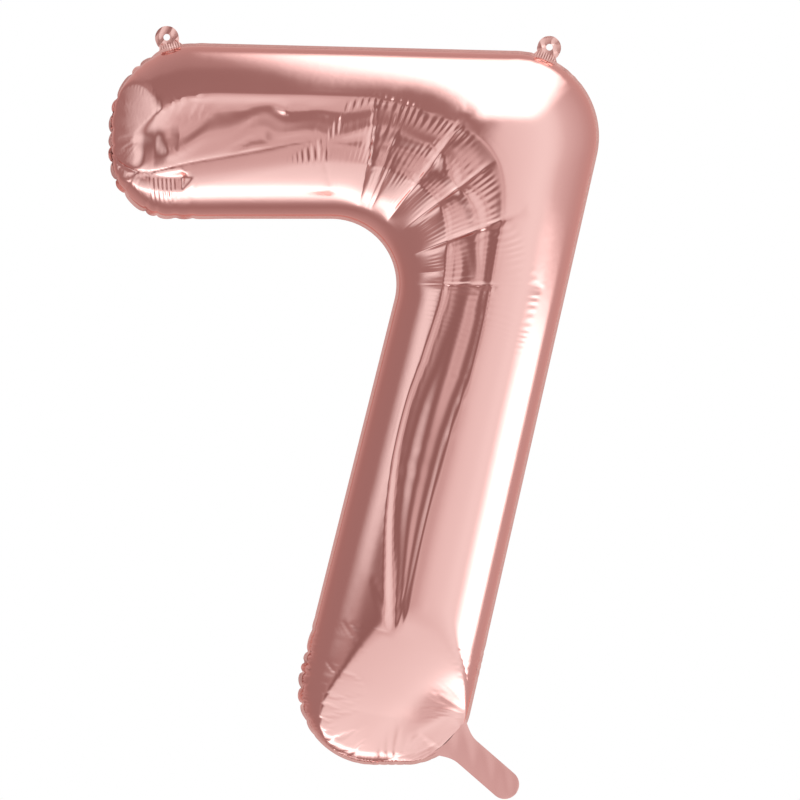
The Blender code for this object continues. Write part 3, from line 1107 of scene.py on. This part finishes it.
def noise(tree, scale, detail, distortion=0.0):
    """Noise fixed to the piece."""
    place = node(tree, "TexCoord", {}, "Object")
    inputs = {"Vector": place, "Scale": scale, "Detail": detail, "Distortion": distortion}
    return node(tree, "TexNoise", inputs, "Fac")


def surface(name, settings, wear, roughness, crinkle=None, relief=None):
    """A material: shader settings, a noise that spreads its roughness, and one for its relief.

    Each noise is its scale, detail and distortion; the relief is its strength and distance.
    """
    material = bpy.data.materials.new(name)
    material.use_nodes = True
    tree = material.node_tree
    shader = tree.nodes["Principled BSDF"]
    for socket, value in settings.items():
        shader.inputs[socket].default_value = value
    inputs = {"Value": noise(tree, *wear), "To Min": roughness[0], "To Max": roughness[1]}
    tree.links.new(node(tree, "MapRange", inputs, "Result"), shader.inputs["Roughness"])
    if crinkle:
        inputs = {"Strength": relief[0], "Distance": relief[1], "Height": noise(tree, *crinkle)}
        tree.links.new(node(tree, "Bump", inputs, "Normal"), shader.inputs["Normal"])
    return material


ROSE_GOLD = (0.92, 0.585, 0.55, 1.0)
EDGE_TINT = (0.95, 0.70, 0.66, 1.0)
FUSED_ROSE_GOLD = (0.93, 0.62, 0.57, 1.0)
PALE = (0.90, 0.90, 0.90, 1.0)


def foil_material():
    settings = {"Base Color": ROSE_GOLD, "Specular Tint": EDGE_TINT, "Metallic": 1.0}
    crinkle = (60.0, 3.0, 0.4)
    return surface("rose_gold_foil", settings, (9.0, 3.0), (0.09, 0.16), crinkle, (0.12, 0.0006))


def fused_foil_material():
    settings = {"Base Color": FUSED_ROSE_GOLD, "Metallic": 1.0}
    crinkle = (260.0, 2.0)
    return surface("fused_rose_gold_foil", settings, (45.0, 2.0), (0.18, 0.30), crinkle, (0.5, 0.0004))


def valve_material():
    settings = {"Base Color": PALE, "Transmission Weight": 0.85, "IOR": 1.45}
    return surface("clear_valve_film", settings, (30.0, 2.0), (0.14, 0.26))


def floor_material():
    return surface("studio_floor", {"Base Color": PALE}, (3.0, 2.0), (0.55, 0.65))


# The studio, as what a mirror sees: brightness by direction, angles in degrees from straight
# towards the camera. Round the sides, from left to right, and then from underfoot to overhead.
SIDES = (
    (-180, 0.7), (-150, 0.5), (-136, 0.40), (-84, 0.36), (-65, 0.50), (-48, 0.28), (-28, 0.30),
    (-17, 0.66), (-8, 0.74), (0, 0.62), (10, 0.77), (22, 0.86), (45, 0.95), (60, 1.0), (72, 0.94),
    (84, 0.76), (112, 0.62), (126, 0.60), (140, 0.60), (180, 0.7),
)
HEIGHTS = (
    (-180, 0.80), (-137, 0.36), (-121, 0.38), (-111, 0.75), (-102, 1.9), (-93, 2.4), (-86, 2.2),
    (-78, 1.12), (-62, 0.98), (-48, 0.92), (-30, 0.80), (-8, 0.68), (2, 0.62), (13, 0.37),
    (45, 0.37), (82, 0.34), (93, 0.42), (140, 0.55), (180, 0.80),
)
DIM_TINT = (1.0, 0.42, 0.38)
BRIGHTEST = 2.6
# How much more a direction to the right counts as sideways than one to the left, and the
# leans between which the sides give way to the heights
RIGHT_WEIGHT = 2.4
LEAN_RANGE = (-0.35, 0.45)


def tinted(value):
    """The tint of a light: dimmer light is redder."""
    share = min(value, 1.0)
    return [dim + (1 - dim) * share for dim in DIM_TINT]


def calculated(tree, operation, *values):
    return node(tree, "Math", dict(enumerate(values)), operation=operation)


def ranged(tree, value, low, high, interpolation="LINEAR"):
    """A value's share of the way from low to high."""
    inputs = {"Value": value, "From Min": low, "From Max": high}
    return node(tree, "MapRange", inputs, "Result", interpolation_type=interpolation)


def brightness_ramp(tree, stops, side, away):
    """Brightness by the angle round one axis, from -180 to 180 degrees off the camera."""
    ramp = tree.nodes.new("ShaderNodeValToRGB")
    ramp.color_ramp.interpolation = "B_SPLINE"
    places = ramp.color_ramp.elements
    for i, (degrees, value) in enumerate(stops):
        share = (degrees + 180) / 360
        stop = places[i] if i < 2 else places.new(share)
        stop.position = share
        stop.color = (*(value * t / BRIGHTEST for t in tinted(value)), 1.0)
    angle = calculated(tree, "ARCTAN2", side, calculated(tree, "MULTIPLY", away, -1.0))
    tree.links.new(ranged(tree, angle, -math.pi, math.pi), ramp.inputs["Fac"])
    return ramp.outputs["Color"]


def directions(tree, coordinate):
    """The three parts of a texture coordinate."""
    place = node(tree, "TexCoord", {}, coordinate)
    return node(tree, "SeparateXYZ", {0: place}).node.outputs


def studio_world():
    """What the foil mirrors, with a plain white backdrop for the camera itself."""
    world = bpy.data.worlds.new("studio")
    bpy.context.scene.world = world
    world.use_nodes = True
    tree = world.node_tree
    tree.nodes.clear()
    x, y, z = directions(tree, "Generated")
    right = calculated(tree, "MULTIPLY", x, RIGHT_WEIGHT)
    across = calculated(tree, "MAXIMUM", right, calculated(tree, "MULTIPLY", x, -1.0))
    lean = calculated(tree, "SUBTRACT", calculated(tree, "ABSOLUTE", z), across)
    weight = ranged(tree, lean, *LEAN_RANGE, "SMOOTHSTEP")
    sides = brightness_ramp(tree, SIDES, x, y)
    heights = brightness_ramp(tree, HEIGHTS, z, y)
    glow = node(tree, "Mix", {0: weight, 6: sides, 7: heights}, 2, data_type="RGBA")
    lit = node(tree, "Background", {"Color": glow, "Strength": BRIGHTEST})
    seen = node(tree, "Background", {"Color": (1.0, 1.0, 1.0, 1.0)})
    by_camera = node(tree, "LightPath", {}, "Is Camera Ray")
    chosen = node(tree, "MixShader", {0: by_camera, 1: lit, 2: seen})
    tree.links.new(chosen, tree.nodes.new("ShaderNodeOutputWorld").inputs["Surface"])


# Cards of light over and beside the balloon: name, place, target, half width and half height,
# strength, and how far the light fades in from the card's own left, right, low and high edges
CARDS = (
    ("overhead_card", (0.64, -0.25, 0.78), (0.64, -0.25, 0), (0.75, 1.10), 2.4,
     ((0.8, 0.36), (0.5, 0.3))),
    ("right_card", (1.30, 0.10, -0.95), (0, 0.10, -0.95), (0.70, 0.55), 2.5,
     ((0.5, 0.8), (0.2, 0.5))),
    ("left_card", (-1.15, -0.45, -0.10), (-0.28, -0.05, -0.12), (0.62, 0.55), 0.98,
     ((0.9, 0.8), (0.9, 0.9))),
)
OVERHEAD_TURN = math.radians(-12)
CARD_CORNERS = [(-1, -1, 0), (1, -1, 0), (1, 1, 0), (-1, 1, 0)]


def card_material(name, strength, fades):
    """Light that fades out towards a card's edges, over shares of its half width and height."""
    material = bpy.data.materials.new(name)
    material.use_nodes = True
    tree = material.node_tree
    tree.nodes.clear()
    places = directions(tree, "Object")
    light = 1.0
    for place, sides in zip(places, fades):
        for sign, fade in zip((-1, 1), sides):
            edge = ranged(tree, place, sign, sign * (1.0 - fade), "SMOOTHSTEP")
            light = calculated(tree, "MULTIPLY", light, edge)
    glow = node(tree, "Emission", {"Color": (*tinted(strength), 1.0), "Strength": strength})
    clear = node(tree, "BsdfTransparent", {})
    mixed = node(tree, "MixShader", {0: light, 1: clear, 2: glow})
    tree.links.new(mixed, tree.nodes.new("ShaderNodeOutputMaterial").inputs["Surface"])
    return material


def make_cards():
    for name, place, target, half_size, strength, fades in CARDS:
        card = mesh_object(name, CARD_CORNERS, [(0, 1, 2, 3)])
        card.data.materials.append(card_material(name, strength, fades))
        card.location = place
        card.rotation_euler = (Vector(target) - Vector(place)).to_track_quat("Z", "Y").to_euler()
        if name == "overhead_card":
            card.rotation_euler.rotate_axis("Z", OVERHEAD_TURN)
        card.scale = (*half_size, 1)
        card.visible_camera = False
        card.visible_shadow = False


FLOOR_PLACE = (0.05, 0, -1.20)
FLOOR_RADIUS = 1.6


def make_floor():
    add_circle = bpy.ops.mesh.primitive_circle_add
    add_circle(vertices=96, radius=FLOOR_RADIUS, fill_type="NGON", location=FLOOR_PLACE)
    floor = bpy.context.active_object
    floor.name = "studio_floor"
    floor.data.materials.append(floor_material())
    floor.visible_glossy = False


CAMERA_TARGET = Vector((0.0503, 0.0, -0.4297))
CAMERA_DISTANCE = 4.0
CAMERA_LENS = 150.0


def make_camera():
    camera = bpy.data.objects.new("camera", bpy.data.cameras.new("camera"))
    bpy.context.scene.collection.objects.link(camera)
    camera.data.lens = CAMERA_LENS
    camera.location = CAMERA_TARGET + Vector((0, -CAMERA_DISTANCE, 0))
    camera.rotation_euler = (math.pi / 2, 0, 0)
    bpy.context.scene.camera = camera


def repaint_lips(material):
    for name in ("valve_front_lip", "valve_back_lip"):
        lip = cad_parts[name]
        lip.data.materials.clear()
        lip.data.materials.append(material)


def build():
    foil = foil_material()
    fused = fused_foil_material()
    clear = valve_material()
    front, form = make_skin(-1, "foil_front", "front_panel", foil)
    back, _ = make_skin(1, "foil_back", "back_panel", foil)
    make_seam(form, fused)
    make_tab("left", ARCS["top_left"], "hanging_tab_left", fused)
    make_tab("right", ARCS["top_right"], "hanging_tab_right", fused)
    make_tail(foil, clear)
    repaint_lips(clear)
    make_floor()
    make_camera()
    studio_world()
    make_cards()
    bpy.context.scene.view_settings.view_transform = "Standard"


build()
